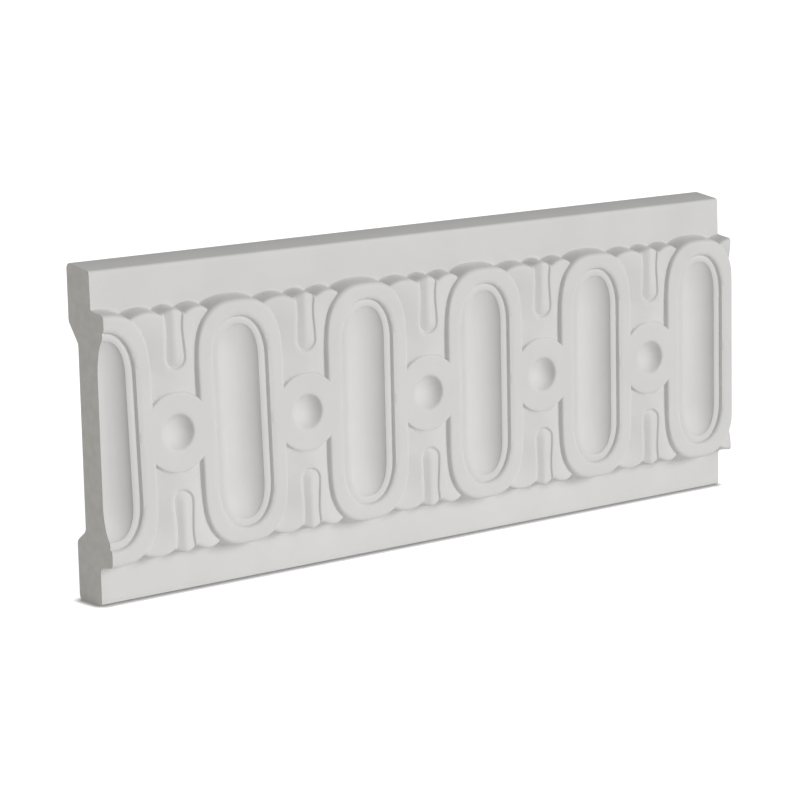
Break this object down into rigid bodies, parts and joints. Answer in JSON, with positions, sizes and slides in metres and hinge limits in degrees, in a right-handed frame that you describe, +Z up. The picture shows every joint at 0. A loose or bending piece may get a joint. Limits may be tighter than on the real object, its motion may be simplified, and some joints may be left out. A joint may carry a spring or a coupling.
{
  "type": "panel moulding",
  "caption": "Length of cast panel moulding, cut square, with hollowed ovals, small dimpled discs and paired leaves in relief between two plain bands.",
  "frame": {"origin": "under the middle of the moulding as it stands on its lower edge, midway between the wall side and the front of the relief", "axes": "+X along the moulding, -Y out from the wall towards the viewer, +Z up"},
  "size_m": [0.253, 0.0188, 0.1012],
  "materials": {
    "cast_white": "matte white primer on hard polyurethane foam"
  },
  "bodies": {
    "root": {"panel_moulding": "cast_white"}
  },
  "joints": []
}
